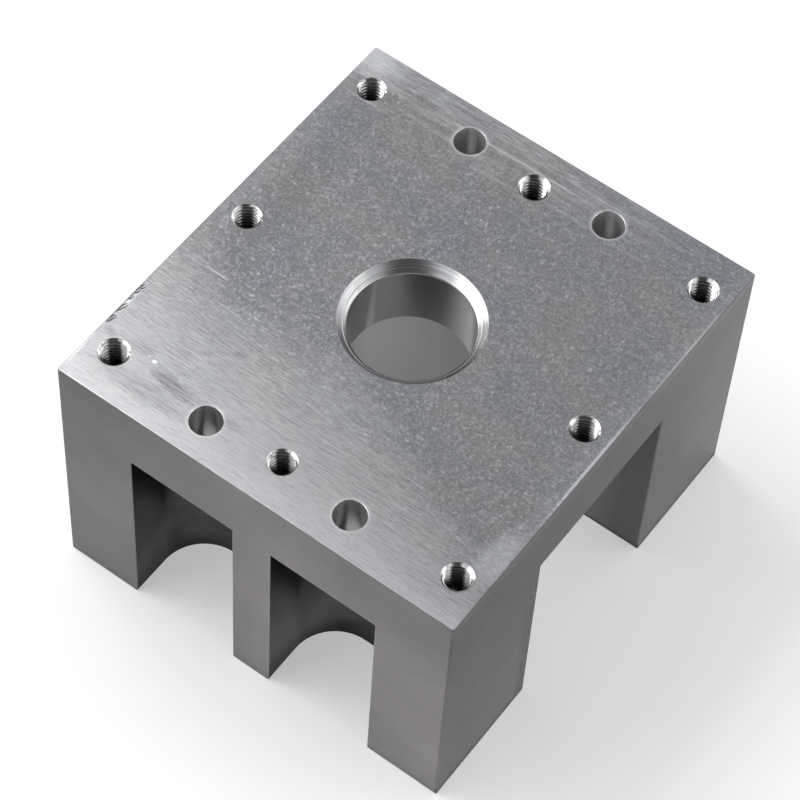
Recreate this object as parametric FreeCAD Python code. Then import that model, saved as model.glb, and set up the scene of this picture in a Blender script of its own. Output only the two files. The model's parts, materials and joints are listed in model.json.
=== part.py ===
import FreeCAD, Part
import math
import os

# Machined mounting block: a thick deck on two end walls, milled from one aluminium blank.
# One wide channel crosses it under the deck, and each end wall has two pockets in its outer
# face, so that three legs show there. The pockets leave room for the screws above them.
# Sizes are in millimetres. The origin is under the middle of the deck, on the plane of the feet.
# X runs along the side that shows three legs, Y along the side that shows two, and Z is up.

# Blank
block_width = 92.0
block_length = 100.0
block_height = 65.0
edge_break = 0.3

# Deck and end walls
deck_thickness = 16.5
end_wall_thickness = 29.5

# Pockets in the end walls, between the legs
side_leg_width = 17.0
middle_leg_width = 9.0
pocket_depth = 19.0
pocket_corner_radius = 10.0

# Central bore, with a turned lead-in at its top
bore_diameter = 25.0
bore_lead_in = 2.1

# Tapped holes around the rim of the deck, at the size of their tapping drill
tapping_drill = 5.0
tapped_mouth_diameter = 6.0
tapped_inset_x = 6.0
tapped_inset_y = 9.5
tapped_depth = 18.0
drill_point_angle = 118.0

# Plain through holes, each over the middle line of a pocket
plain_diameter = 6.6
plain_inset_y = 8.0

# Length by which a cutter starts and ends clear of the metal
overrun = 1.0

# Turn in degrees under which one face runs smoothly into the next, with no edge to break
smooth_turn = 5.0

# Places that follow from the sizes above
half_width = block_width / 2
half_length = block_length / 2
deck_underside = block_height - deck_thickness
pocket_inner_x = middle_leg_width / 2
pocket_outer_x = half_width - side_leg_width
pocket_middle_x = (pocket_inner_x + pocket_outer_x) / 2
cross_channel_half = half_length - end_wall_thickness
tapped_x = half_width - tapped_inset_x
tapped_y = half_length - tapped_inset_y
plain_y = half_length - plain_inset_y


def straight_outline(corners):
    """Close the straight outline through the corners."""
    return Part.makePolygon(corners + [corners[0]])


def bridge():
    """The deck and its two end walls: one section of the cross channel, carried along X."""
    right_half = [
        (cross_channel_half, deck_underside),
        (cross_channel_half, 0),
        (half_length, 0),
        (half_length, block_height),
    ]
    left_half = [(-y, z) for y, z in reversed(right_half)]
    corners = [FreeCAD.Vector(-half_width, y, z) for y, z in right_half + left_half]
    return Part.Face(straight_outline(corners)).extrude(FreeCAD.Vector(block_width, 0, 0))


def pocket_cutter():
    """Cutter for one pocket of the end wall at low Y, on the side of high X."""
    width = pocket_outer_x - pocket_inner_x
    corner_radius = min(pocket_corner_radius, width / 2 - edge_break)
    start = FreeCAD.Vector(pocket_inner_x, -half_length - overrun, -overrun)
    block = Part.makeBox(width, pocket_depth + overrun, deck_underside + overrun, start)
    inner_y = pocket_depth - half_length
    uprights = [
        edge
        for edge in block.Edges
        if abs(edge.CenterOfMass.y - inner_y) < edge_break
        and edge.BoundBox.ZLength > edge.BoundBox.XLength
    ]
    return block.makeFillet(corner_radius, uprights)


def pocket_cutters():
    """The pocket in its four places: two in each end wall."""
    across_x = FreeCAD.Vector(1, 0, 0)
    across_y = FreeCAD.Vector(0, 1, 0)
    middle = FreeCAD.Vector(0, 0, 0)
    right = pocket_cutter()
    pair = [right, right.mirror(middle, across_x)]
    return pair + [cutter.mirror(middle, across_y) for cutter in pair]


def normal_at(face, point):
    """Outward normal of a face at a point on it."""
    return face.normalAt(*face.Surface.parameter(point))


def is_outer_corner(edge, solid):
    """True at a ridge, and false in a recess or where one face runs smoothly into the next."""
    first, second = solid.ancestorsOfType(edge, Part.Face)
    middle = edge.valueAt((edge.FirstParameter + edge.LastParameter) / 2)
    first_normal, second_normal = normal_at(first, middle), normal_at(second, middle)
    if first_normal.getAngle(second_normal) < math.radians(smooth_turn):
        return False
    beside = middle + (first_normal - second_normal) * (edge_break / 2)
    return not solid.isInside(beside, edge_break / 100, False)


def broken_edges(solid):
    """Take the sharpness off every ridge of the milled blank."""
    ridges = [edge for edge in solid.Edges if is_outer_corner(edge, solid)]
    return solid.makeChamfer(edge_break, ridges)


def turned(profile):
    """Revolve a profile of radius and height about the vertical axis."""
    corners = [FreeCAD.Vector(radius, 0, height) for radius, height in profile]
    face = Part.Face(straight_outline(corners))
    return face.revolve(FreeCAD.Vector(0, 0, 0), FreeCAD.Vector(0, 0, 1), 360)


def mouth_profile(hole_radius, mouth_radius):
    """Profile points of a 45 degree mouth at the top of the deck, from the axis to the hole."""
    return [
        (0, block_height + overrun),
        (mouth_radius, block_height + overrun),
        (mouth_radius, block_height),
        (hole_radius, block_height - (mouth_radius - hole_radius)),
    ]


def through_hole(hole_radius, mouth_radius):
    """Cutter for a hole that leaves through the underside of the deck."""
    end = deck_underside - overrun
    return turned(mouth_profile(hole_radius, mouth_radius) + [(hole_radius, end), (0, end)])


def blind_hole(hole_radius, mouth_radius, depth):
    """Cutter for a drilled hole that ends in the cone of the drill's point."""
    shoulder = block_height - depth
    tip = shoulder - hole_radius / math.tan(math.radians(drill_point_angle / 2))
    return turned(mouth_profile(hole_radius, mouth_radius) + [(hole_radius, shoulder), (0, tip)])


def plain_hole():
    """Cutter for one plain hole with a sharp mouth."""
    radius = plain_diameter / 2
    hole = Part.makeCylinder(radius, deck_thickness + 2 * overrun)
    return hole.translated(FreeCAD.Vector(0, 0, deck_underside - overrun))


def placed(cutter, places):
    """Copies of a cutter moved to each place on the deck."""
    return [cutter.translated(FreeCAD.Vector(x, y, 0)) for x, y in places]


def hole_cutters():
    """Every cutter for the deck: the bore, the tapped holes and the plain holes."""
    bore_radius = bore_diameter / 2
    tapped_radius = tapping_drill / 2
    tapped_mouth = tapped_mouth_diameter / 2
    signs = (-1, 1)

    cutters = [through_hole(bore_radius, bore_radius + bore_lead_in)]

    over_legs = [(x * tapped_x, y * tapped_y) for x in (-1, 0, 1) for y in signs]
    cutters += placed(blind_hole(tapped_radius, tapped_mouth, tapped_depth), over_legs)

    over_cross_channel = [(x * tapped_x, 0) for x in signs]
    cutters += placed(through_hole(tapped_radius, tapped_mouth), over_cross_channel)

    over_pockets = [(x * pocket_middle_x, y * plain_y) for x in signs for y in signs]
    cutters += placed(plain_hole(), over_pockets)
    return cutters


def mounting_block():
    """The finished block."""
    blank = bridge().cut(pocket_cutters())
    return broken_edges(blank).cut(hole_cutters())


os.makedirs("parts", exist_ok=True)
block = mounting_block().Solids[0]
block.exportStep("parts/mounting_block.step")
box = block.BoundBox
print("mounting_block valid", block.isValid(), "faces", len(block.Faces), "volume", round(block.Volume))
print("size", round(box.XLength, 3), round(box.YLength, 3), round(box.ZLength, 3))
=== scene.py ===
import bmesh
import bpy
import json
import math
from mathutils import Matrix, Vector


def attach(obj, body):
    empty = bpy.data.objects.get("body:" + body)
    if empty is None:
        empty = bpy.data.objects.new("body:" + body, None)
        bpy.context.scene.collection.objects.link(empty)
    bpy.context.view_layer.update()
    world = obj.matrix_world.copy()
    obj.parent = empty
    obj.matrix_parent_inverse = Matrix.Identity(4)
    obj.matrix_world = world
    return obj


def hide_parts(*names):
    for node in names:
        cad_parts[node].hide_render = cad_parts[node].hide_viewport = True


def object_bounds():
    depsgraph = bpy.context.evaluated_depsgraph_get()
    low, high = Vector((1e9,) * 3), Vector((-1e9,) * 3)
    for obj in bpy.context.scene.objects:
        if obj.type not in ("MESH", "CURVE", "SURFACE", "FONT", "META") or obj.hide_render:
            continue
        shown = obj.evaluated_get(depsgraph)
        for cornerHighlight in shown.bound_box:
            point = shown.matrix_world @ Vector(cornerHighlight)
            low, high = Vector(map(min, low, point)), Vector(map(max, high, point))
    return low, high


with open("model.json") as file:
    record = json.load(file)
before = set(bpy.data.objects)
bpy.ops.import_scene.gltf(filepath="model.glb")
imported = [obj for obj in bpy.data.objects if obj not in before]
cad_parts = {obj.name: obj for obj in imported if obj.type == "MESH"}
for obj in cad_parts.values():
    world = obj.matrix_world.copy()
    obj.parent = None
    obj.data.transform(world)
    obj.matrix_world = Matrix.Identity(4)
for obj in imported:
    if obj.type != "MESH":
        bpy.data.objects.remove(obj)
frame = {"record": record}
cadLow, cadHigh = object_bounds()
mounts = {mount["name"]: mount for mount in frame["record"]["mounts"]}

mm = 0.001  # every size below is in metres
deckTop = cadHigh.z
weldGap = 1e-6
print("frame loaded, block is", [round(v / mm, 2) for v in cadHigh - cadLow], "mm")


# node helpers

def addNode(tree, kind, **settings):
    node = tree.nodes.new(kind)
    for key, value in settings.items():
        setattr(node, key, value)
    return node


def feed(tree, socket, value):
    if isinstance(value, bpy.types.NodeSocket):
        tree.links.new(value, socket)
    else:
        socket.default_value = value


def maths(tree, operation, *values, clamp=False):
    node = addNode(tree, "ShaderNodeMath", operation=operation, use_clamp=clamp)
    for socket, value in zip(node.inputs, values):
        feed(tree, socket, value)
    return node.outputs[0]


def plus(tree, first, *others):
    for value in others:
        first = maths(tree, "ADD", first, value)
    return first


def minus(tree, first, second):
    return maths(tree, "SUBTRACT", first, second)


def product(tree, first, *others):
    for value in others:
        first = maths(tree, "MULTIPLY", first, value)
    return first


def largest(tree, first, *others):
    for value in others:
        first = maths(tree, "MAXIMUM", first, value)
    return first


def absolute(tree, value):
    return maths(tree, "ABSOLUTE", value)


def swing(tree, noise, width):
    # turns a noise from 0 to 1 into a sway of the given width about nought
    return product(tree, minus(tree, noise, 0.5), width)


def axes(tree, vector):
    node = addNode(tree, "ShaderNodeSeparateXYZ")
    feed(tree, node.inputs[0], vector)
    return list(node.outputs)


def vectorOf(tree, x, y, z):
    node = addNode(tree, "ShaderNodeCombineXYZ")
    for socket, value in zip(node.inputs, (x, y, z)):
        feed(tree, socket, value)
    return node.outputs[0]


# mesh helpers

def plainObject(name, data):
    piece = bpy.data.objects.new(name, data)
    bpy.context.scene.collection.objects.link(piece)
    return piece


def meshFrom(work, name):
    mesh = bpy.data.meshes.new(name)
    work.to_mesh(mesh)
    work.free()
    return mesh


def addFinishes(mesh):
    for metal in finishes.values():
        mesh.materials.append(metal)


def outward(piece):
    work = bmesh.new()
    work.from_mesh(piece.data)
    bmesh.ops.recalc_face_normals(work, faces=work.faces[:])
    work.to_mesh(piece.data)
    work.free()
    return piece


def settle(piece):
    # turns what the modifiers make into the piece's own plain mesh
    graph = bpy.context.evaluated_depsgraph_get()
    graph.update()
    made = bpy.data.meshes.new_from_object(piece.evaluated_get(graph))
    piece.modifiers.clear()
    piece.data = made
    return piece


def newTree(name, inputs):
    tree = bpy.data.node_groups.new(name, "GeometryNodeTree")
    tree.interface.new_socket(name="Geometry", in_out="INPUT", socket_type="NodeSocketGeometry")
    for label, kind in inputs:
        tree.interface.new_socket(name=label, in_out="INPUT", socket_type=kind)
    tree.interface.new_socket(name="Geometry", in_out="OUTPUT", socket_type="NodeSocketGeometry")
    source = addNode(tree, "NodeGroupInput")
    sink = addNode(tree, "NodeGroupOutput")
    return tree, source.outputs, sink.inputs


def runTree(name, tree, points, values):
    # lays the tree's result over the given points as a plain mesh object
    mesh = bpy.data.meshes.new(name)
    mesh.from_pydata(points, [], [])
    piece = plainObject(name, mesh)
    modifier = piece.modifiers.new(name, "NODES")
    modifier.node_group = tree
    for item in tree.interface.items_tree:
        if item.in_out == "INPUT" and item.name in values:
            modifier[item.identifier] = values[item.name]
    return settle(piece)


def cutFrom(piece, cutters):
    for cutter in cutters:
        modifier = piece.modifiers.new(cutter.name, "BOOLEAN")
        modifier.operation = "DIFFERENCE"
        modifier.solver = "MANIFOLD"
        modifier.object = cutter
    settle(piece)
    for cutter in cutters:
        bpy.data.objects.remove(cutter)


def prism(name, outline, low, high):
    # a closed upright block over an outline of x and y pairs
    work = bmesh.new()
    bottom = [work.verts.new((x, y, low)) for x, y in outline]
    top = [work.verts.new((x, y, high)) for x, y in outline]
    work.faces.new(bottom)
    work.faces.new(top)
    for n in range(len(outline)):
        m = (n + 1) % len(outline)
        work.faces.new((bottom[n], bottom[m], top[m], top[n]))
    return outward(plainObject(name, meshFrom(work, name)))


def turnedCutter(name, profile, centre, segments, metals):
    # revolves radius and depth pairs; metals names the finish of each stretch of the profile
    work = bmesh.new()
    rings = []
    for radius, depth in profile:
        angles = [math.tau * n / segments for n in range(segments)] if radius else [0.0]
        rings.append([work.verts.new((
            centre[0] + radius * math.cos(angle),
            centre[1] + radius * math.sin(angle),
            deckTop - depth)) for angle in angles])
    for upper, lower, metal in zip(rings, rings[1:], metals):
        for n in range(segments):
            m = (n + 1) % segments
            ring = [upper[n % len(upper)], lower[n % len(lower)]]
            if len(lower) > 1:
                ring.append(lower[m])
            if len(upper) > 1:
                ring.append(upper[m])
            work.faces.new(ring).material_index = finishOrder.index(metal)
    mesh = meshFrom(work, name)
    addFinishes(mesh)
    return outward(plainObject(name, mesh))


# finishes
# a ramp is its start, its end and the share at each, or two numbers where it goes from 0 to 1
# a grain is its spots in a metre, detail and roughness; a drawn one has spots for each axis, and
# its turn in degrees

def finish(name, look):
    metal = bpy.data.materials.new(name)
    metal.use_nodes = True
    tree = metal.node_tree
    shader = tree.nodes["Principled BSDF"]
    shader.inputs["Metallic"].default_value = look.get("metallic", 1.0)
    shader.inputs["Base Color"].default_value = (*look["colour"], 1.0)
    shader.inputs["Roughness"].default_value = look["roughness"]
    if "anisotropy" in look:
        # the highlight spreads across the tool lines, which run along U
        shader.inputs["Anisotropic"].default_value = look["anisotropy"]
        shader.inputs["Anisotropic Rotation"].default_value = 0.25
        along = addNode(tree, "ShaderNodeTangent", direction_type="UV_MAP", uv_map="lay")
        feed(tree, shader.inputs["Tangent"], along.outputs[0])
    return metal, tree, shader


def place(tree):
    return addNode(tree, "ShaderNodeTexCoord").outputs["Object"]


def layPlace(tree):
    return addNode(tree, "ShaderNodeUVMap", uv_map="lay").outputs[0]


def fitted(tree, vector, centre, halfSizes, turn):
    # coordinates that are one unit long at the given half sizes, about a centre and along a turned axis
    node = addNode(tree, "ShaderNodeMapping", vector_type="TEXTURE")
    feed(tree, node.inputs["Vector"], vector)
    node.inputs["Location"].default_value = centre
    node.inputs["Rotation"].default_value = (0.0, 0.0, math.radians(turn))
    node.inputs["Scale"].default_value = halfSizes
    return node.outputs[0]


def grain(tree, vector, scale, detail=2.0, roughness=0.5):
    node = addNode(tree, "ShaderNodeTexNoise")
    feed(tree, node.inputs["Vector"], vector)
    node.inputs["Scale"].default_value = scale
    node.inputs["Detail"].default_value = detail
    node.inputs["Roughness"].default_value = roughness
    return node.outputs["Fac"]


def drawnGrain(tree, vector, perMetre, detail=2.0, roughness=0.5, turn=0.0):
    # noise with its own count of spots in a metre along each axis
    spots = fitted(tree, vector, (0.0, 0.0, 0.0), [1 / count for count in perMetre], turn)
    return grain(tree, spots, 1.0, detail, roughness)


def ramp(tree, value, low, high, fromShare=0.0, toShare=1.0):
    node = addNode(tree, "ShaderNodeMapRange", clamp=True)
    feed(tree, node.inputs["Value"], value)
    node.inputs["From Min"].default_value = low
    node.inputs["From Max"].default_value = high
    node.inputs["To Min"].default_value = fromShare
    node.inputs["To Max"].default_value = toShare
    return node.outputs[0]


def between(tree, share, first, second):
    node = addNode(tree, "ShaderNodeMix", data_type="FLOAT")
    for socket, value in zip((node.inputs[0], node.inputs[2], node.inputs[3]), (share, first, second)):
        feed(tree, socket, value)
    return node.outputs[0]


def blended(tree, share, first, second):
    node = addNode(tree, "ShaderNodeMix", data_type="RGBA")
    feed(tree, node.inputs["Factor"], share)
    for socket, value in ((node.inputs[6], first), (node.inputs[7], second)):
        feed(tree, socket, value if isinstance(value, bpy.types.NodeSocket) else (*value, 1.0))
    return node.outputs[2]


def toned(tree, colour, share):
    node = addNode(tree, "ShaderNodeVectorMath", operation="SCALE")
    feed(tree, node.inputs[0], colour)
    feed(tree, node.inputs["Scale"], share)
    return node.outputs[0]


def relief(tree, shader, height, depth):
    node = addNode(tree, "ShaderNodeBump")
    node.inputs["Distance"].default_value = depth
    node.inputs["Strength"].default_value = 1.0
    feed(tree, node.inputs["Height"], height)
    feed(tree, shader.inputs["Normal"], node.outputs[0])


flyCut = {
    "colour": (0.214, 0.215, 0.220),
    # the lined colour is a painted reflection: the deck painted brighter where the tool lines run
    "lined": (0.480, 0.479, 0.482),
    "dark": (0.120, 0.121, 0.125),
    "bright": (0.600, 0.600, 0.605),
    "glint": (0.85, 0.85, 0.85),
    "cool": (0.192, 0.200, 0.217),
    "warm": (0.226, 0.220, 0.213),
    "roughness": 0.32,
    "anisotropy": 0.5,
    "lineDepth": 0.018 * mm,
    "lineRoughness": (0.2, 0.8, 0.37, 0.27),
    "passes": (
        ((260, 4300, 1), 1.0, 0.6, -2.4),
        ((110, 6000, 1), 1.0, 0.6, 0.6),
        ((340, 3300, 1), 1.0, 0.6, 2.8)),
    "passLevels": (1.22, 1.78),
    "streaks": ((48, 560, 1), 3.0, 0.6, 1.0),
    "coarse": (1300.0, 2.0),
    "coarseWeight": 0.45,
    "fine": (2500.0, 3.0, 0.75),
    "mottleLevels": (0.46, 0.99),
    "frontLined": (0.04, 0.45),
    "linedShare": (0.0, 1.0, 0.12, 0.62),
    "evenShare": (0.25, 0.8, 0.0, 0.42),
    "evenLevel": 0.51,
    "patches": (55.0, 3.0, 0.6),
    "warmShare": (0.38, 0.50),
    "coolShare": (0.50, 0.64),
    "slantTone": (-85 * mm, 100 * mm, 0.90, 1.24),
    "slantAcross": 1.25,
    "frontStart": (-32 * mm, -43 * mm, -14 * mm, -5 * mm),
    "frontEnd": -50 * mm,
    "frontSkew": -0.5,
    "frontSway": 14 * mm,
    "frontPower": 0.75,
    "frontFade": (-46 * mm, 46 * mm, 1.0, 0.84),
    "backStart": (38.5 * mm, 45.5 * mm),
    "backSway": 40 * mm,
    "backFade": (42 * mm, 5 * mm, 0.1, 1.0),
    "backLift": (0.35, 0.65, 0.14, 0.48),
    "edgeLift": (-44.5 * mm, -48.5 * mm, 0.0, 0.22),
    "leftLift": (-40 * mm, -46 * mm, 0.0, 0.16),
    "rightLift": (41 * mm, 46 * mm, 0.0, 0.22),
    "cornerX": (-35 * mm, -42 * mm),
    "cornerY": (41.5 * mm, 45.5 * mm),
    "cornerStreaks": (0.3, 0.7, 0.8, 1.0),
    "darkSpots": (0.47, 0.08, 0.0, 0.70),
    "brightSpots": (0.55, 1.0),
    "flecks": ((1500, 4200, 1), 1.0, 0.5, -67.0),
    "fleckShare": (0.61, 0.74, 0.0, 0.30),
    "rim": (0.75 * mm, 0.25 * mm, 0.0, 0.55),
    "markEdge": (1.0, 0.45),
    "raggedMarks": ((500, 3000, 1), 2.0, 0.6, 1.0),
    "markSwing": 1.2,
    "hatching": ((160, 3300, 1), 1.0, 0.5, -1.5),
    "hatchShare": (0.62, 0.42, 0.25, 1.0),
}
marks = {  # place and half lengths in mm, turn in degrees and depth of tone of each dark mark
    "smear": ((-26.6, -39.7), (7.2, 2.0), -7.0, 0.75),
    "smearTail": ((-16.0, -39.8), (8.0, 1.3), 1.0, 0.40),
    "holeScuff": ((-43.6, -37.2), (2.0, 1.0), -15.0, 0.45),
    "frontShade": ((-31.5, -44.0), (13.0, 3.0), 0.0, 0.40),
    "holeStreak": ((-36.3, -36.4), (3.6, 1.8), 0.0, 0.40),
    "smudge": ((-0.8, 18.2), (1.4, 1.0), 30.0, 0.3),
    "leftShade": ((-36.5, 6.0), (6.0, 24.0), 0.0, 0.30),
}
glints = {  # the same for each bright mark
    "spot": ((-32.6, -37.6), (0.72, 0.52), 0.0, 0.70),
    "spotTwo": ((-34.2, -37.2), (0.6, 0.35), 20.0, 0.35),
    "scratch": ((-36.0, -14.2), (3.4, 0.14), -1.0, 0.45),
    "scratchTwo": ((-29.0, -19.6), (4.2, 0.12), -1.5, 0.3),
    "scratchThree": ((-2.0, 27.0), (0.14, 2.2), 25.0, 0.3),
    "backStreak": ((-8.0, 43.9), (24.0, 0.28), 0.4, 0.3),
    "backStreakTwo": ((14.0, 46.2), (22.0, 0.22), 0.2, 0.22),
    "sideEdge": ((45.62, -6.0), (0.42, 18.0), 0.0, 0.55),
    "sideEdgeTwo": ((45.7, 26.0), (0.36, 16.0), 0.0, 0.3),
    "sidePatch": ((43.5, -33.0), (4.2, 8.5), 0.0, 0.22),
    "leftEdge": ((-45.7, -44.0), (0.36, 6.0), 0.0, 0.5),
    "leftEdgeTwo": ((-45.2, -29.5), (0.5, 5.0), 0.0, 0.4),
}
plainHole = {
    "radius": mounts["plain_holes"]["dims"]["hole_r_mm"] * mm,
    "lip": 0.08 * mm,
    "segments": 72,
}


def toolLines(tree, at):
    # short scores of a worn cutter in three passes, a few degrees apart
    passes = [drawnGrain(tree, at, *settings) for settings in flyCut["passes"]]
    return ramp(tree, plus(tree, *passes), *flyCut["passLevels"])


def markAt(tree, at, ragged, spot, halfSizes, turn, depth):
    # share of one mark: an oval on the deck with a ragged edge
    centre = (spot[0] * mm, spot[1] * mm, deckTop)
    inside = fitted(tree, at, centre, (halfSizes[0] * mm, halfSizes[1] * mm, 1.0), turn)
    away = addNode(tree, "ShaderNodeVectorMath", operation="LENGTH")
    feed(tree, away.inputs[0], inside)
    return ramp(tree, plus(tree, away.outputs["Value"], ragged), *flyCut["markEdge"], 0.0, depth)


def allMarks(tree, at, ragged, table):
    return largest(tree, 0.0, *[markAt(tree, at, ragged, *mark) for mark in table.values()])


def fromPlainHole(tree, x, y):
    # distance to the middle of the nearest plain hole
    dims = mounts["plain_holes"]["dims"]
    squares = 0.0
    for value, spacing in ((x, dims["spacing_x_mm"]), (y, dims["spacing_y_mm"])):
        aside = minus(tree, absolute(tree, value), spacing / 2 * mm)
        squares = plus(tree, squares, maths(tree, "POWER", aside, 2.0))
    return maths(tree, "SQRT", squares)


def frontLines(tree, x, y, streak):
    # share of the bright straight lines along the front edge, tool lines painted brighter as a painted
    # reflection: widest at the left, thin at the right
    skew = product(tree, largest(tree, x, 0.0), flyCut["frontSkew"])
    first = plus(tree, skew, ramp(tree, x, *flyCut["frontStart"]))
    past = minus(tree, first, plus(tree, y, swing(tree, streak, flyCut["frontSway"])))
    share = maths(tree, "DIVIDE", past, minus(tree, first, flyCut["frontEnd"]), clamp=True)
    share = maths(tree, "POWER", share, flyCut["frontPower"])
    # a painted highlight along the very front edge
    share = plus(tree, share, ramp(tree, y, *flyCut["edgeLift"]))
    return product(tree, share, ramp(tree, x, *flyCut["frontFade"]))


def backLines(tree, x, y, streak):
    # share of the fainter lines along the back, fading to the right; where they run, the deck is also
    # painted brighter as a painted reflection
    swayed = plus(tree, y, swing(tree, streak, flyCut["backSway"]))
    return product(tree, ramp(tree, swayed, *flyCut["backStart"]), ramp(tree, x, *flyCut["backFade"]))


def surfaceGrain(tree, at, front, back):
    # a fine mottle that gives way to straight lines, which are fainter at the front edge
    coarse = product(tree, grain(tree, at, *flyCut["coarse"]), flyCut["coarseWeight"])
    mottle = plus(tree, grain(tree, at, *flyCut["fine"]), coarse)
    mottle = ramp(tree, mottle, *flyCut["mottleLevels"])
    lined = largest(tree, ramp(tree, front, *flyCut["frontLined"]), back)
    lined = ramp(tree, lined, *flyCut["linedShare"])
    surface = between(tree, lined, mottle, toolLines(tree, at))
    return between(tree, ramp(tree, front, *flyCut["evenShare"]), surface, flyCut["evenLevel"])


def patchColour(tree, at, x, y):
    # tinted patches, and a tone that rises from the front left to the back right
    patches = grain(tree, at, *flyCut["patches"])
    colour = blended(tree, ramp(tree, patches, *flyCut["warmShare"]), flyCut["warm"], flyCut["colour"])
    colour = blended(tree, ramp(tree, patches, *flyCut["coolShare"]), colour, flyCut["cool"])
    slant = plus(tree, product(tree, x, flyCut["slantAcross"]), y)
    return toned(tree, colour, ramp(tree, slant, *flyCut["slantTone"]))


def flyCutTop():
    metal, tree, shader = finish("flyCutTop", flyCut)
    at = place(tree)
    x, y, _ = axes(tree, at)
    streak = drawnGrain(tree, at, *flyCut["streaks"])
    front = frontLines(tree, x, y, streak)
    back = backLines(tree, x, y, streak)
    surface = surfaceGrain(tree, at, front, back)
    # painted highlights: brighter bands along the edges, and a bright corner at the back left; the
    # lined zones are painted brighter as a painted reflection
    sides = [ramp(tree, x, *flyCut[side]) for side in ("leftLift", "rightLift")]
    lift = largest(tree, front, product(tree, back, ramp(tree, streak, *flyCut["backLift"])), *sides)
    colour = blended(tree, lift, patchColour(tree, at, x, y), flyCut["lined"])
    cornerHighlight = product(tree, ramp(tree, x, *flyCut["cornerX"]), ramp(tree, y, *flyCut["cornerY"]),
                     ramp(tree, streak, *flyCut["cornerStreaks"]))
    colour = blended(tree, cornerHighlight, colour, flyCut["bright"])
    # the grain's low and high spots, and small flecks across it
    colour = blended(tree, ramp(tree, surface, *flyCut["darkSpots"]), colour, flyCut["dark"])
    flecks = ramp(tree, drawnGrain(tree, at, *flyCut["flecks"]), *flyCut["fleckShare"])
    spots = largest(tree, ramp(tree, surface, *flyCut["brightSpots"]), flecks)
    colour = blended(tree, spots, colour, flyCut["bright"])
    # a bright rim round each plain hole: a painted highlight on its rolled edge
    fromRim = minus(tree, fromPlainHole(tree, x, y), plainHole["radius"])
    colour = blended(tree, ramp(tree, fromRim, *flyCut["rim"]), colour, flyCut["bright"])
    # single marks, the dark ones hatched along the tool lines
    ragged = swing(tree, drawnGrain(tree, at, *flyCut["raggedMarks"]), flyCut["markSwing"])
    hatch = ramp(tree, drawnGrain(tree, at, *flyCut["hatching"]), *flyCut["hatchShare"])
    scored = product(tree, allMarks(tree, at, ragged, marks), hatch)
    colour = blended(tree, scored, colour, flyCut["dark"])
    colour = blended(tree, allMarks(tree, at, ragged, glints), colour, flyCut["glint"])
    feed(tree, shader.inputs["Base Color"], colour)
    feed(tree, shader.inputs["Roughness"], ramp(tree, surface, *flyCut["lineRoughness"]))
    relief(tree, shader, surface, flyCut["lineDepth"])
    return metal


milledSide = {
    "colour": (0.175, 0.163, 0.166),
    "scuff": (0.204, 0.191, 0.194),
    "dark": (0.060, 0.057, 0.057),
    "bright": (0.420, 0.410, 0.410),
    "roughness": 0.40,
    "anisotropy": 0.2,
    "clouds": (60.0, 4.0, 0.6),
    "cloudShare": (0.40, 0.64, 0.0, 0.8),
    "cloudDepth": 0.03 * mm,
    "smoke": (26.0, 3.0, 0.55),
    "smokeTone": (0.35, 0.65, 0.92, 1.07),
    "lines": ((60, 2200, 1), 2.0),
    "lineTone": (0.3, 0.7, 0.98, 1.02),
    "lineRoughness": (0.3, 0.7, 0.42, 0.38),
    "specks": (1500.0, 2.0),
    "speckShare": (0.70, 0.76, 0.0, 0.25),
    "deckTone": (28 * mm, 62 * mm, 1.02, 0.80),
    "acrossTone": (-46 * mm, 2 * mm, 0.77, 1.17),
    "rightTone": (4 * mm, 56 * mm, 1.10, 0.68),
    "alongTone": (-50 * mm, 50 * mm, 0.73, 0.96),
    "rightSkin": (0.6 * mm, 0.4 * mm),
    "rimBand": (62.0 * mm, 62.6 * mm, 0.0, 0.16),
    "rimSwing": 1.5 * mm,
    "uprightHighlight": (0.30, 0.45, 1.0, 1.55),
}
burrs = {
    "foot": (2.6 * mm, 1.3 * mm),
    "rubbed": (3.6 * mm, 1.8 * mm, 0.0, 0.45),
    "swing": 2.4 * mm,
    "ragged": (700.0, 3.0, 0.6),
    "legEdge": -21.4 * mm,
    "legEdgeTop": (49 * mm, 47 * mm),
    "patches": (110.0, 3.0, 0.7),
    "patchShare": (0.34, 0.52, 0.55, 1.0),
    "sideShare": (0.0, 1.0, 0.30, 0.95),
    "points": (1000.0, 2.0, 0.7),
    "pointShare": (0.57, 0.66, 0.0, 0.2),
    "dullness": (0.0, 0.7, 1.0, 0.35),
    "tears": (900.0, 2.0),
    "tearHeight": 5.0,
}


def sideShading(tree, x, y, height, fine, onRight):
    # painted shade: the faces are darker towards the deck, the front one towards its left end and the
    # right one towards its front end; the right side is darker, with a paler band under the deck's edge
    # that is a painted reflection
    front = product(tree, ramp(tree, height, *milledSide["deckTone"]),
                    ramp(tree, x, *milledSide["acrossTone"]))
    right = product(tree, ramp(tree, height, *milledSide["rightTone"]),
                    ramp(tree, y, *milledSide["alongTone"]))
    band = plus(tree, height, swing(tree, fine, milledSide["rimSwing"]))
    return between(tree, onRight, front, plus(tree, right, ramp(tree, band, *milledSide["rimBand"])))


def burrBands(tree, at, y, height, onRight):
    # ragged bands along the foot edges, and on the right at the front wall's edge to the channel
    ragged = swing(tree, grain(tree, at, *burrs["ragged"]), burrs["swing"])
    foot = ramp(tree, plus(tree, height, ragged), *burrs["foot"])
    aside = plus(tree, absolute(tree, minus(tree, y, burrs["legEdge"])), ragged)
    edge = largest(tree, ramp(tree, aside, *burrs["foot"]), ramp(tree, aside, *burrs["rubbed"]))
    return largest(tree, foot, product(tree, edge, onRight, ramp(tree, height, *burrs["legEdgeTop"])))


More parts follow.
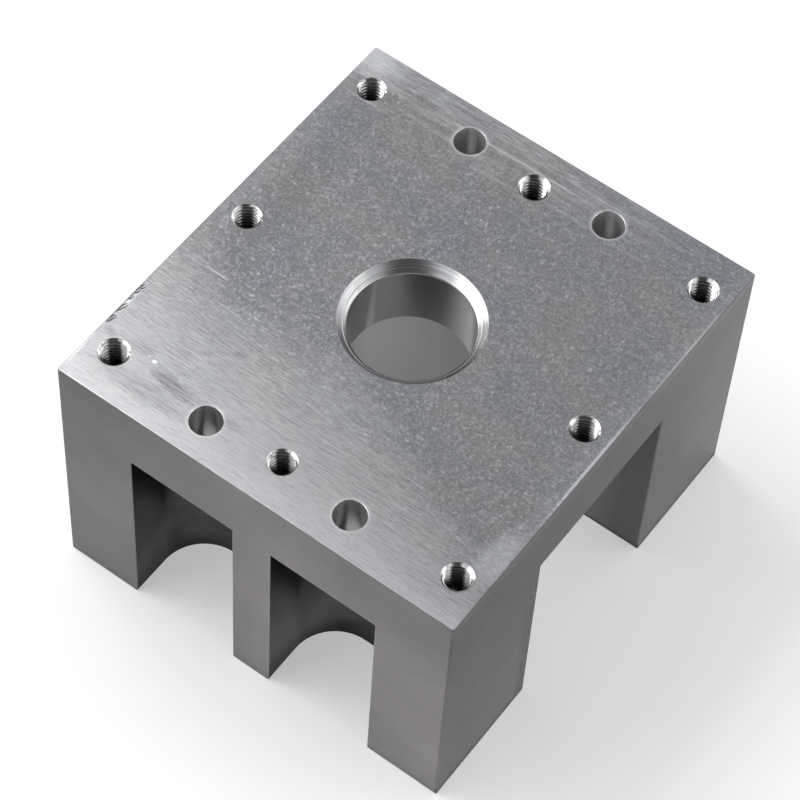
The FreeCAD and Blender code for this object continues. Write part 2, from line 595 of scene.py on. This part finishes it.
def milledSides():
    metal, tree, shader = finish("milledSides", milledSide)
    at = place(tree)
    x, y, height = axes(tree, at)
    onRight = ramp(tree, x, *[cadHigh.x - inside for inside in milledSide["rightSkin"]])
    cloud = grain(tree, at, *milledSide["clouds"])
    smoke = grain(tree, at, *milledSide["smoke"])
    fine = grain(tree, at, *milledSide["specks"])
    lines = drawnGrain(tree, layPlace(tree), *milledSide["lines"])
    scuffed = ramp(tree, cloud, *milledSide["cloudShare"])
    colour = blended(tree, scuffed, milledSide["colour"], milledSide["scuff"])
    # painted highlight: the broken upright edges, whose normals lean to X and Y, are painted paler, as
    # pale as the faces beside them
    leanX, leanY, _ = axes(tree, addNode(tree, "ShaderNodeNewGeometry").outputs["True Normal"])
    upright = absolute(tree, product(tree, leanX, leanY))
    tone = product(
        tree, sideShading(tree, x, y, height, fine, onRight), ramp(tree, smoke, *milledSide["smokeTone"]),
        ramp(tree, lines, *milledSide["lineTone"]), ramp(tree, upright, *milledSide["uprightHighlight"]))
    colour = toned(tree, colour, tone)
    # specks, and torn dull burrs with a few bright points
    bands = burrBands(tree, at, y, height, onRight)
    patches = ramp(tree, grain(tree, at, *burrs["patches"]), *burrs["patchShare"])
    burr = product(tree, bands, patches, ramp(tree, onRight, *burrs["sideShare"]))
    speck = ramp(tree, fine, *milledSide["speckShare"])
    colour = blended(tree, largest(tree, speck, burr), colour, milledSide["dark"])
    points = ramp(tree, grain(tree, at, *burrs["points"]), *burrs["pointShare"])
    colour = blended(tree, product(tree, bands, points), colour, milledSide["bright"])
    feed(tree, shader.inputs["Base Color"], colour)
    feed(tree, shader.inputs["Roughness"], ramp(tree, lines, *milledSide["lineRoughness"]))
    feed(tree, shader.inputs["Metallic"], ramp(tree, burr, *burrs["dullness"]))
    torn = product(tree, burr, grain(tree, at, *burrs["tears"]), burrs["tearHeight"])
    relief(tree, shader, plus(tree, cloud, torn), milledSide["cloudDepth"])
    return metal


channelWall = {
    "colour": (0.25, 0.242, 0.244),
    "dull": (0.105, 0.101, 0.102),
    "foot": (0.03, 0.03, 0.03),
    "roughness": 0.36,
    "anisotropy": 0.2,
    "endShadeFrom": (24 * mm, 40 * mm),
    "footBand": (1.6 * mm, 0.7 * mm, 0.0, 0.7),
}


def channelWalls():
    # the bridge's inner faces: smooth, painted paler under the bore as a painted reflection, and darker
    # at the open ends and at the foot as painted shade
    metal, tree, shader = finish("channelWalls", channelWall)
    x, _, height = axes(tree, place(tree))
    dull = ramp(tree, absolute(tree, x), *channelWall["endShadeFrom"])
    colour = blended(tree, dull, channelWall["colour"], channelWall["dull"])
    foot = ramp(tree, height, *channelWall["footBand"])
    feed(tree, shader.inputs["Base Color"], blended(tree, foot, colour, channelWall["foot"]))
    return metal


pocketWall = {
    "colour": (0.115, 0.112, 0.110),
    "smoke": (0.045, 0.043, 0.042),
    "shade": (0.010, 0.010, 0.0095),
    "glossTint": (0.75, 0.74, 0.73, 1.0),
    "roughness": 0.34,
    "anisotropy": 0.2,
    "clouds": ((55, 55, 40), 3.0),
    "cloudShare": (0.40, 0.62),
    "upperShade": (14 * mm, 40 * mm, 0.0, 0.92),
    "footShade": (6 * mm, 0 * mm, 0.0, 0.8),
}


def pocketWalls():
    # painted shade: dark towards the deck and at the foot, and smoky between, where the paler clouds
    # are a painted reflection
    metal, tree, shader = finish("pocketWalls", pocketWall)
    shader.inputs["Specular Tint"].default_value = pocketWall["glossTint"]
    at = place(tree)
    height = axes(tree, at)[2]
    cloud = ramp(tree, drawnGrain(tree, at, *pocketWall["clouds"]), *pocketWall["cloudShare"])
    colour = blended(tree, cloud, pocketWall["smoke"], pocketWall["colour"])
    shade = largest(tree, ramp(tree, height, *pocketWall["upperShade"]),
                    ramp(tree, height, *pocketWall["footShade"]))
    feed(tree, shader.inputs["Base Color"], blended(tree, shade, colour, pocketWall["shade"]))
    return metal


leadInMetal = {
    "colour": (0.91, 0.91, 0.90),
    "left": (0.68, 0.68, 0.675),
    "between": (0.52, 0.52, 0.515),  # the tone between two ridges
    "shadedNear": (0.80, 0.80, 0.795),
    "shadedNearBetween": (0.50, 0.50, 0.50),
    "roughness": 0.26,
    "anisotropy": 0.5,
    "rings": ((60, 4200, 1), 3.0, 0.6),
    "ringShare": (0.35, 0.62),
    "ringDepth": 0.014 * mm,
    "farTowards": (-0.259, 0.966, 0.0),
    "farFrom": (-1.0 * mm, 4.0 * mm),
    "rightFrom": (-9 * mm, 2 * mm),
}


def turnedMouth():
    # bright turned rings, painted darker on the left and duller around the near half as painted shade
    metal, tree, shader = finish("turnedMouth", leadInMetal)
    at = place(tree)
    rings = drawnGrain(tree, layPlace(tree), *leadInMetal["rings"])
    ridge = ramp(tree, rings, *leadInMetal["ringShare"])
    facing = addNode(tree, "ShaderNodeVectorMath", operation="DOT_PRODUCT")
    feed(tree, facing.inputs[0], at)
    feed(tree, facing.inputs[1], leadInMetal["farTowards"])
    right = ramp(tree, axes(tree, at)[0], *leadInMetal["rightFrom"])
    bright = blended(tree, right, leadInMetal["left"], leadInMetal["colour"])
    bright = blended(tree, ridge, leadInMetal["between"], bright)
    shadedNear = blended(tree, ridge, leadInMetal["shadedNearBetween"], leadInMetal["shadedNear"])
    far = ramp(tree, facing.outputs["Value"], *leadInMetal["farFrom"])
    feed(tree, shader.inputs["Base Color"], blended(tree, far, shadedNear, bright))
    relief(tree, shader, rings, leadInMetal["ringDepth"])
    return metal


boreMetal = {
    "colour": (0.195, 0.186, 0.189),
    "reflectedPale": (0.63, 0.625, 0.635),
    "roughness": 0.24,
    "anisotropy": 0.3,
    "reflectionFrom": (-9 * mm, -12.2 * mm),
    "reflectionSlant": 0.55,
    "rings": ((12, 2600, 1), 2.0),
    "ringDepth": 0.004 * mm,
}


def boredWall():
    # painted reflection: paler where the wall turns away from the open end of the channel
    metal, tree, shader = finish("boredWall", boreMetal)
    x, y, _ = axes(tree, place(tree))
    reflectedPale = ramp(tree, plus(tree, x, product(tree, y, boreMetal["reflectionSlant"])), *boreMetal["reflectionFrom"])
    feed(tree, shader.inputs["Base Color"], blended(tree, reflectedPale, boreMetal["colour"], boreMetal["reflectedPale"]))
    rings = drawnGrain(tree, layPlace(tree), *boreMetal["rings"])
    relief(tree, shader, rings, boreMetal["ringDepth"])
    return metal


drilledMetal = {
    "colour": (0.48, 0.465, 0.455),
    "back": (0.62, 0.60, 0.60),
    "metallic": 0.6,  # dull with the drill's oil and dust
    "roughness": 0.28,
    "anisotropy": 0.2,
    "backFrom": (-1 * mm, 1 * mm),
    "rings": ((200, 2600, 1), 2.0),
    "ringDepth": 0.006 * mm,
}


def drilledWall():
    metal, tree, shader = finish("drilledWall", drilledMetal)
    # painted light: the back pair of holes is painted paler than the front pair
    back = ramp(tree, axes(tree, place(tree))[1], *drilledMetal["backFrom"])
    colour = blended(tree, back, drilledMetal["colour"], drilledMetal["back"])
    feed(tree, shader.inputs["Base Color"], colour)
    rings = drawnGrain(tree, layPlace(tree), *drilledMetal["rings"])
    relief(tree, shader, rings, drilledMetal["ringDepth"])
    return metal


threadMetal = {
    "colour": (0.90, 0.89, 0.875),
    "stain": (0.42, 0.39, 0.35),
    "flat": (0.60, 0.58, 0.55),
    "deep": (0.03, 0.028, 0.025),
    "roughness": 0.15,
    "stains": (900.0, 3.0),
    "stainShare": (0.45, 0.75),
    "flatLean": (0.34, 0.20),
    "flatMetallic": (0.0, 1.0, 0.95, 0.55),
    "deepShadeFrom": (-2.2 * mm, -7.0 * mm, 0.0, 0.93),
}


def cutThread():
    # bright flanks, between upright flats that are given a greyer, less metallic finish by the way they
    # face, a painted sheen
    metal, tree, shader = finish("cutThread", threadMetal)
    at = place(tree)
    lean = axes(tree, addNode(tree, "ShaderNodeNewGeometry").outputs["True Normal"])[2]
    flat = ramp(tree, absolute(tree, lean), *threadMetal["flatLean"])
    stain = ramp(tree, grain(tree, at, *threadMetal["stains"]), *threadMetal["stainShare"])
    colour = blended(tree, stain, threadMetal["colour"], threadMetal["stain"])
    colour = blended(tree, flat, colour, threadMetal["flat"])
    # painted shade: darker deeper down the hole
    below = minus(tree, axes(tree, at)[2], deckTop)
    deep = ramp(tree, below, *threadMetal["deepShadeFrom"])
    feed(tree, shader.inputs["Base Color"], blended(tree, deep, colour, threadMetal["deep"]))
    feed(tree, shader.inputs["Metallic"], ramp(tree, flat, *threadMetal["flatMetallic"]))
    return metal


# the nicks' inner walls: torn metal painted dark, the painted shade of each scoop
bruiseAndShade = {"colour": (0.075, 0.075, 0.073), "roughness": 0.45}


def bruisedAndShaded():
    return finish("bruisedAndShaded", bruiseAndShade)[0]


finishes = {make.__name__: make() for make in (
    flyCutTop, milledSides, channelWalls, pocketWalls, turnedMouth, boredWall, drilledWall, cutThread,
    bruisedAndShaded)}
finishOrder = list(finishes)
print("finishes made:", ", ".join(finishOrder))


# block body

block = {
    "deckThickness": 16.5 * mm,
    "endWallThickness": 29.5 * mm,
    "sideLegWidth": 17.0 * mm,
    "middleLegWidth": 9.0 * mm,
    "pocketDepth": 19.0 * mm,
    "pocketCorner": 10.0 * mm,
    "cornerSegments": 24,
    "edgeBreak": 0.28 * mm,
    "edgeSegments": 2,
    "edgeProfile": 0.5,  # a round
    "ridgeAngle": 57,  # degrees between two faces past which their edge is broken
    "flatAngle": 1,  # and under which they are one face
    "overrun": 2 * mm,  # length by which a cutter stands clear of the metal
}
deckUnderside = deckTop - block["deckThickness"]
pocketOuter = cadHigh.x - block["sideLegWidth"]
pocketInner = block["middleLegWidth"] / 2
pocketEnd = cadHigh.y - block["pocketDepth"]
crossHalf = cadHigh.y - block["endWallThickness"]


def rectangle(halfX, halfY):
    return [(-halfX, -halfY), (halfX, -halfY), (halfX, halfY), (-halfX, halfY)]


def pocketOutline(signX, signY):
    # straight sides in from the face, then the quarter rounds that the end mill leaves
    radius, count = block["pocketCorner"], block["cornerSegments"]
    mouthY = cadHigh.y + block["overrun"]
    steps = [math.radians(90 * n / count) for n in range(count + 1)]
    inner = [(pocketInner + radius - radius * math.cos(t), pocketEnd + radius - radius * math.sin(t))
             for t in steps]
    outer = [(pocketOuter - radius + radius * math.sin(t), pocketEnd + radius - radius * math.cos(t))
             for t in steps]
    ring = [(pocketInner, mouthY)] + inner + outer + [(pocketOuter, mouthY)]
    return [(signX * x, signY * y) for x, y in ring]


def breakEdges(piece):
    work = bmesh.new()
    work.from_mesh(piece.data)
    bmesh.ops.remove_doubles(work, verts=work.verts[:], dist=weldGap)
    bmesh.ops.dissolve_limit(
        work, angle_limit=math.radians(block["flatAngle"]), verts=work.verts[:], edges=work.edges[:])
    sharpest = math.radians(block["ridgeAngle"])
    ridges = [edge for edge in work.edges if edge.is_convex and edge.calc_face_angle() > sharpest]
    bmesh.ops.bevel(
        work, geom=ridges, offset=block["edgeBreak"], segments=block["edgeSegments"],
        profile=block["edgeProfile"], affect="EDGES", clamp_overlap=True)
    work.to_mesh(piece.data)
    work.free()


def blockBody():
    blank = prism("blockBody", rectangle(cadHigh.x, cadHigh.y), cadLow.z, deckTop)
    start = cadLow.z - block["overrun"]
    channel = rectangle(cadHigh.x + block["overrun"], crossHalf)
    tools = [prism("crossChannel", channel, start, deckUnderside)]
    for signX in (-1, 1):
        for signY in (-1, 1):
            tools.append(prism("pocket", pocketOutline(signX, signY), start, deckUnderside))
    cutFrom(blank, tools)
    breakEdges(blank)
    return blank


# tapped holes

thread = {
    "Pitch": 1.0 * mm,
    "Drill Radius": 2.5 * mm,
    "Thread Radius": 3.0 * mm,
    "Mouth Radius": 3.02 * mm,  # the narrowest; a cutter of its own opens each to its width
    "Above": 0.4 * mm,
    "Segments": 48,
    "Seed": 7,
}
tapping = {
    "blindDepth": 18.0 * mm,
    "throughDepth": block["deckThickness"] + 3 * thread["Pitch"],
    "blindCone": thread["Drill Radius"] / math.tan(math.radians(118 / 2)),  # 118 degrees at its point
    "throughCone": 0.5 * mm,
    "rowsPerTurn": 7,  # two along the cutter's crest, two on each flank and one in its root
    "crestForm": 1.25,  # depth of the profile at the middle of the crest, where over 1 is flat
    "flankFall": 0.5,  # and its fall from each row to the next
    "runOut": 1.5,  # pitches over which the thread fades at its end
    "overlap": 0.1 * mm,  # reach of a mouth's cutter inside the drilled hole
}
mouths = {  # radius in mm at each place, by the signs of its X and Y, as each was opened by hand
    (-1, -1): 3.22, (0, -1): 3.02, (1, -1): 3.19, (-1, 0): 3.03, (1, 0): 3.08,
    (-1, 1): 3.06, (0, 1): 3.28, (1, 1): 3.18,
}
blindRows = ("tapped_corners", "tapped_end_middles")
throughRows = ("tapped_side_middles",)
clear = 0.5 * mm  # height by which a turned cutter stands over the deck


def rowHeight(tree, given, row, turn):
    # a row climbs one pitch in a turn, and is held between the mouth and the end
    share = minus(tree, turn, maths(tree, "DIVIDE", row, float(tapping["rowsPerTurn"])))
    climb = plus(tree, product(tree, plus(tree, share, 1.0), given["Pitch"]), given["Above"])
    low = product(tree, given["Depth"], -1.0)
    height = largest(tree, maths(tree, "MINIMUM", climb, given["Above"]), low)
    return height, minus(tree, height, low)


def rowRadius(tree, given, row, height, fromEnd):
    # a trapezoid by row number within the turn, which fades at the end and opens at the mouth
    step = maths(tree, "MODULO", row, float(tapping["rowsPerTurn"]))
    away = absolute(tree, minus(tree, step, tapping["rowsPerTurn"] / 2))
    fall = product(tree, away, tapping["flankFall"])
    form = maths(tree, "SUBTRACT", tapping["crestForm"], fall, clamp=True)
    fade = maths(tree, "DIVIDE", fromEnd, product(tree, given["Pitch"], tapping["runOut"]), clamp=True)
    depth = minus(tree, given["Thread Radius"], given["Drill Radius"])
    threaded = plus(tree, given["Drill Radius"], product(tree, form, fade, depth))
    return largest(tree, threaded, plus(tree, given["Mouth Radius"], height))


def threadTree():
    # a cutter shaped like the tapped hole: rows follow the helix, so each crest stays crisp
    lengths = ("Pitch", "Drill Radius", "Thread Radius", "Mouth Radius", "Above", "Depth", "Cone")
    tree, given, result = newTree("tappedHoles", (
        *((name, "NodeSocketFloat") for name in lengths),
        *((name, "NodeSocketInt") for name in ("Rows", "Segments", "Seed")),
        ("Material", "NodeSocketMaterial")))
    sheet = addNode(tree, "GeometryNodeMeshGrid")
    feed(tree, sheet.inputs["Size X"], 1.0)
    feed(tree, sheet.inputs["Size Y"], 1.0)
    feed(tree, sheet.inputs["Vertices X"], plus(tree, given["Segments"], 1.0))
    feed(tree, sheet.inputs["Vertices Y"], plus(tree, given["Rows"], 1.0))
    x, y, _ = axes(tree, addNode(tree, "GeometryNodeInputPosition").outputs[0])
    turn = plus(tree, x, 0.5)
    row = maths(tree, "ROUND", product(tree, minus(tree, 0.5, y), given["Rows"]))
    height, fromEnd = rowHeight(tree, given, row, turn)
    radius = rowRadius(tree, given, row, height, fromEnd)
    # the first and last rows close the cutter on its axis, the last in the drill's point
    first = maths(tree, "COMPARE", row, 0.0, 0.1)
    last = maths(tree, "COMPARE", row, given["Rows"], 0.1)
    radius = product(tree, radius, minus(tree, 1.0, plus(tree, first, last)))
    height = minus(tree, height, product(tree, last, given["Cone"]))
    angle = product(tree, turn, math.tau)
    shaped = addNode(tree, "GeometryNodeSetPosition")
    feed(tree, shaped.inputs["Geometry"], sheet.outputs["Mesh"])
    feed(tree, shaped.inputs["Position"], vectorOf(
        tree, product(tree, radius, maths(tree, "COSINE", angle)),
        product(tree, radius, maths(tree, "SINE", angle)), height))
    joined = addNode(tree, "GeometryNodeMergeByDistance")
    feed(tree, joined.inputs["Geometry"], shaped.outputs[0])
    feed(tree, joined.inputs["Distance"], weldGap)
    # each hole's thread starts at its own angle
    start = addNode(tree, "FunctionNodeRandomValue", data_type="FLOAT")
    feed(tree, start.inputs[3], math.tau)  # the upper end of a plain number
    feed(tree, start.inputs["Seed"], given["Seed"])
    turned = addNode(tree, "FunctionNodeEulerToRotation")
    feed(tree, turned.inputs[0], vectorOf(tree, 0.0, 0.0, start.outputs[1]))
    placed = addNode(tree, "GeometryNodeInstanceOnPoints")
    feed(tree, placed.inputs["Points"], given["Geometry"])
    feed(tree, placed.inputs["Instance"], joined.outputs[0])
    feed(tree, placed.inputs["Rotation"], turned.outputs[0])
    real = addNode(tree, "GeometryNodeRealizeInstances")
    feed(tree, real.inputs[0], placed.outputs[0])
    painted = addNode(tree, "GeometryNodeSetMaterial")
    feed(tree, painted.inputs["Geometry"], real.outputs[0])
    feed(tree, painted.inputs["Material"], given["Material"])
    feed(tree, result["Geometry"], painted.outputs[0])
    return tree


def rowsFor(depth):
    # rows for the depth, two turns to spare and the two that close the cutter
    turns = (depth + thread["Above"]) / thread["Pitch"] + 2
    return math.ceil(tapping["rowsPerTurn"] * turns) + 2


def patternPoints(*names):
    points = []
    for name in names:
        dims = mounts[name]["dims"]
        halfX = dims.get("spacing_x_mm", 0) * mm / 2
        halfY = dims.get("spacing_y_mm", 0) * mm / 2
        signsX = (-1, 1) if halfX else (0,)
        signsY = (-1, 1) if halfY else (0,)
        points += [(a * halfX, b * halfY, deckTop) for a in signsX for b in signsY]
    return points


def tappedCutters():
    tree = threadTree()
    made = []
    for name, rows, depth, cone in (
            ("blindTaps", blindRows, tapping["blindDepth"], tapping["blindCone"]),
            ("throughTaps", throughRows, tapping["throughDepth"], tapping["throughCone"])):
        values = dict(
            thread, Depth=depth, Cone=cone, Rows=rowsFor(depth), Material=finishes["cutThread"])
        made.append(outward(runTree(name, tree, patternPoints(*rows), values)))
    return made


def mouthAt(x, y):
    return mouths[round(x / cadHigh.x), round(y / cadHigh.y)] * mm


def mouthCutters():
    inner = thread["Drill Radius"] - tapping["overlap"]
    made = []
    for x, y, _ in patternPoints(*blindRows, *throughRows):
        radius = mouthAt(x, y)
        profile = [(0, -clear), (radius + clear, -clear), (inner, radius - inner), (0, radius - inner)]
        made.append(
            turnedCutter("mouthCutter", profile, (x, y), thread["Segments"], ["cutThread"] * 3))
    return made


# central bore and plain holes

bore = {
    "radius": mounts["central_bore"]["dims"]["r_mm"] * mm,
    "lip": 0.14 * mm,
    "lipHeights": (1.2, 0.8),  # above and below the foot of the lead-in, for each lip of width
    "leadIn": 2.1 * mm,
    "grooveAt": 1.15 * mm,
    "grooveWidth": 0.16 * mm,
    "grooveRoot": (0.15, 0.6),  # inwards and down from its upper edge, in widths
    "segments": 160,
}


def boreCutter():
    radius, leadIn, lip = bore["radius"], bore["leadIn"], bore["lip"]
    at, wide = bore["grooveAt"], bore["grooveWidth"]
    inwards, down = bore["grooveRoot"]
    above, below = bore["lipHeights"]
    mouth = radius + leadIn
    end = block["deckThickness"] + clear
    profile = [
        (0, -clear), (mouth + clear, -clear), (mouth - at, at),
        (mouth - at - wide * inwards, at + wide * down), (mouth - at - wide, at + wide),
        (radius + lip, leadIn - lip * above), (radius, leadIn + lip * below), (radius, end), (0, end)]
    metals = ["boredWall"] + ["turnedMouth"] * 5 + ["boredWall"] * 2
    return turnedCutter("boreCutter", profile, (0, 0), bore["segments"], metals)


def plainCutters():
    radius, lip = plainHole["radius"], plainHole["lip"]
    end = block["deckThickness"] + clear
    profile = [(0, -clear), (radius + lip + clear, -clear), (radius + lip, 0), (radius, lip),
               (radius, end), (0, end)]
    metals = ["drilledWall", "turnedMouth", "turnedMouth", "drilledWall", "drilledWall"]
    return [turnedCutter(f"plainCutter{n}", profile, point, plainHole["segments"], metals)
            for n, point in enumerate(patternPoints("plain_holes"))]


# nicks in the deck's left edge

nicks = {  # x, y and half length in mm, and the turn from the edge in degrees
    "first": (-45.42, -34.85, 1.30, 13.0),
    "second": (-45.47, -31.69, 1.50, 19.0),
    "third": (-45.62, -28.71, 0.85, 10.0),
    "fourth": (-45.56, -26.91, 0.82, 17.0),
    "fifth": (-45.30, -25.50, 0.70, 18.0),
}
nickCut = {
    "wide": 0.50 * mm,
    "deep": 0.24 * mm,
    "darkFrom": 0.05,  # share of the width from which the inner wall is dark
    "near": (0.85, 1.05),  # a face this far out, in half sizes, is a nick's wall
}


def nickPlace(x, y, half, turn):
    shape = Matrix.Diagonal((nickCut["wide"], half * mm, nickCut["deep"], 1.0))
    turned = Matrix.Rotation(math.radians(-turn), 4, "Z")
    return Matrix.Translation((x * mm, y * mm, deckTop)) @ turned @ shape


nickPlaces = [nickPlace(*nick) for nick in nicks.values()]


def nickCutters():
    made = []
    for placed in nickPlaces:
        work = bmesh.new()
        bmesh.ops.create_icosphere(work, subdivisions=3, radius=1.0, matrix=placed)
        mesh = meshFrom(work, "nick")
        addFinishes(mesh)
        made.append(outward(plainObject("nick", mesh)))
    return made


# finish and lay of each face

sorting = {
    "holeReach": 0.02 * mm,
    "holeEnd": deckUnderside - 3 * mm,  # the blind holes reach into the end walls
    "holeTop": deckTop - 0.01 * mm,
    "mouthLean": 0.15,  # upward part of a normal past which a hole's face is its turned mouth
    "deckLean": 0.5,
    "levelLean": 0.7,
    "skin": block["edgeBreak"] * 1.1,
    "channelEnd": crossHalf + 0.1 * mm,
    "sharpAngle": 18,  # degrees between two faces past which they don't shade as one
    "seam": 2e-7,
}
holes = (
    [(x, y, mouthAt(x, y), "cutThread") for x, y, _ in patternPoints(*blindRows, *throughRows)]
    + [(x, y, plainHole["radius"] + plainHole["lip"], "drilledWall")
       for x, y, _ in patternPoints("plain_holes")]
    + [(0.0, 0.0, bore["radius"] + bore["leadIn"], "boredWall")])


def holeFinish(face, centre):
    # the finish and the axis of the hole that a face belongs to
    if not sorting["holeEnd"] < centre.z < sorting["holeTop"]:
        return None, None
    for x, y, radius, metal in holes:
        if math.hypot(centre.x - x, centre.y - y) < radius + sorting["holeReach"]:
            isMouth = metal != "cutThread" and face.normal.z > sorting["mouthLean"]
            return "turnedMouth" if isMouth else metal, (x, y)
    return None, None


# a nick's inner wall takes the dark finish, its painted shade
def nickFinish(centre):
    nearest, furthest = nickCut["near"]
    for placed in nickPlaces:
        spot = placed.inverted() @ centre
        if nearest < spot.length < furthest:
            return "bruisedAndShaded" if spot.x > nickCut["darkFrom"] else "flyCutTop"
    return None


def flatFinish(face, centre):
    if face.normal.z > sorting["deckLean"] and centre.z > deckUnderside:
        return "flyCutTop"
    onSkin = (
        abs(centre.x) > cadHigh.x - sorting["skin"]
        or abs(centre.y) > cadHigh.y - sorting["skin"]
        or centre.z < cadLow.z + sorting["skin"])
    if onSkin:
        return "milledSides"
    return "channelWalls" if abs(centre.y) < sorting["channelEnd"] else "pocketWalls"


def holeLay(axis, centre, spot, metal):
    # U runs round the hole, and V down its wall or out across its mouth
    x, y = axis
    base = math.atan2(centre.y - y, centre.x - x)
    angle = math.atan2(spot.y - y, spot.x - x)
    angle += math.tau * round((base - angle) / math.tau)
    reach = math.hypot(centre.x - x, centre.y - y)
    across = math.hypot(spot.x - x, spot.y - y) if metal == "turnedMouth" else spot.z
    return angle * reach, across


def flatLay(normal, spot):
    if abs(normal.z) > sorting["levelLean"]:
        return spot.x, spot.y
    if abs(normal.y) > abs(normal.x):
        return spot.x, spot.z
    return spot.y, spot.z


def finishFaces(piece):
    # gives each face its finish, and a lay map whose U runs along its tool lines
    mesh = piece.data
    mesh.materials.clear()
    addFinishes(mesh)
    work = bmesh.new()
    work.from_mesh(mesh)
    bmesh.ops.remove_doubles(work, verts=work.verts[:], dist=sorting["seam"])
    bmesh.ops.dissolve_degenerate(work, edges=work.edges[:], dist=sorting["seam"])
    bmesh.ops.recalc_face_normals(work, faces=work.faces[:])
    lay = work.loops.layers.uv.new("lay")
    for face in work.faces:
        centre = face.calc_center_median()
        metal, axis = holeFinish(face, centre)
        metal = metal or nickFinish(centre) or flatFinish(face, centre)
        face.material_index = finishOrder.index(metal)
        for loop in face.loops:
            spot = loop.vert.co
            loop[lay].uv = holeLay(axis, centre, spot, metal) if axis else flatLay(face.normal, spot)
    work.to_mesh(mesh)
    work.free()
    mesh.shade_smooth()
    mesh.set_sharp_from_angle(angle=math.radians(sorting["sharpAngle"]))


body = blockBody()
print("body made:", len(body.data.polygons), "faces")
cutters = tappedCutters() + mouthCutters() + [boreCutter()] + plainCutters() + nickCutters()
print("cutters made:", sum(len(cutter.data.polygons) for cutter in cutters), "faces")
cutFrom(body, cutters)
finishFaces(body)
body.name = "mounting_block_finished"
body.data.calc_loop_triangles()
print("block cut:", len(body.data.loop_triangles), "triangles")


# studio

studio = {
    "floorColour": (0.68, 0.68, 0.68),
    "floorRoughness": 0.9,
    "floorSpecular": 0.1,
    "floorGlow": 0.42,
    "floorSize": 6.0,
    "sky": (0.695, 0.712, 0.74),
    "darkSide": (0.02, 0.02, 0.021),
    "darkTowards": (0.42, -0.42, 0.803),
    "darkReach": (0.80, 0.89),
}
panels = {  # place, aim, width, height and watts of each lamp
    "overhead": ((-0.98, -0.06, 1.30), (-0.98, -0.06, 0.0), 0.84, 1.05, 14.0),
    "left": ((-1.04, -0.72, 0.46), (0.0, 0.0, 0.05), 1.60, 0.75, 5.6),
    "right": ((0.80, 0.96, 0.56), (0.0, 0.0, 0.05), 1.90, 0.66, 2.7),
}
view = {
    "place": (188.84 * mm, -292.65 * mm, 562.67 * mm),
    "turn": (34.578, -3.017, 35.970),
    "lens": 143.32,
    "shift": (-0.0625, -0.075),
    "sensor": 36.0,
    "clip": (0.01, 20.0),
}


def studioFloor():
    half = studio["floorSize"] / 2
    mesh = bpy.data.meshes.new("floor")
    mesh.from_pydata([(x, y, cadLow.z) for x, y in rectangle(half, half)], [], [(0, 1, 2, 3)])
    floor = plainObject("floor", mesh)
    paper = bpy.data.materials.new("floorPaper")
    paper.use_nodes = True
    tree = paper.node_tree
    shader = tree.nodes["Principled BSDF"]
    shader.inputs["Base Color"].default_value = (*studio["floorColour"], 1.0)
    shader.inputs["Roughness"].default_value = studio["floorRoughness"]
    shader.inputs["Specular IOR Level"].default_value = studio["floorSpecular"]
    # the paper looks whiter to the eye and in the metal, and lights nothing
    ray = addNode(tree, "ShaderNodeLightPath").outputs
    seen = plus(tree, ray["Is Camera Ray"], ray["Is Glossy Ray"])
    seen = maths(tree, "ADD", seen, ray["Is Transmission Ray"], clamp=True)
    shader.inputs["Emission Color"].default_value = (1.0, 1.0, 1.0, 1.0)
    feed(tree, shader.inputs["Emission Strength"], product(tree, seen, studio["floorGlow"]))
    mesh.materials.append(paper)


def studioLight():
    world = bpy.data.worlds.new("studio")
    world.use_nodes = True
    tree = world.node_tree
    facing = addNode(tree, "ShaderNodeVectorMath", operation="DOT_PRODUCT")
    feed(tree, facing.inputs[0], addNode(tree, "ShaderNodeTexCoord").outputs["Generated"])
    feed(tree, facing.inputs[1], studio["darkTowards"])
    dark = ramp(tree, facing.outputs["Value"], *studio["darkReach"])
    sky = blended(tree, dark, studio["sky"], studio["darkSide"])
    feed(tree, tree.nodes["Background"].inputs["Color"], sky)
    bpy.context.scene.world = world
    for name, (spot, aim, width, height, watts) in panels.items():
        lamp = bpy.data.lights.new(name, "AREA")
        lamp.shape = "RECTANGLE"
        lamp.size = width
        lamp.size_y = height
        lamp.energy = watts
        holder = plainObject(name, lamp)
        holder.location = spot
        holder.rotation_euler = (Vector(aim) - Vector(spot)).to_track_quat("-Z", "Y").to_euler()
        holder.visible_camera = False


def studioCamera():
    lens = bpy.data.cameras.new("camera")
    lens.sensor_width = view["sensor"]
    lens.lens = view["lens"]
    lens.shift_x, lens.shift_y = view["shift"]
    lens.clip_start, lens.clip_end = view["clip"]
    camera = plainObject("camera", lens)
    camera.location = view["place"]
    camera.rotation_euler = [math.radians(v) for v in view["turn"]]
    bpy.context.scene.camera = camera


studioFloor()
studioLight()
studioCamera()
bpy.context.scene.view_settings.view_transform = "Standard"
print("studio made")

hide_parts("mounting_block")
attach(body, "root")
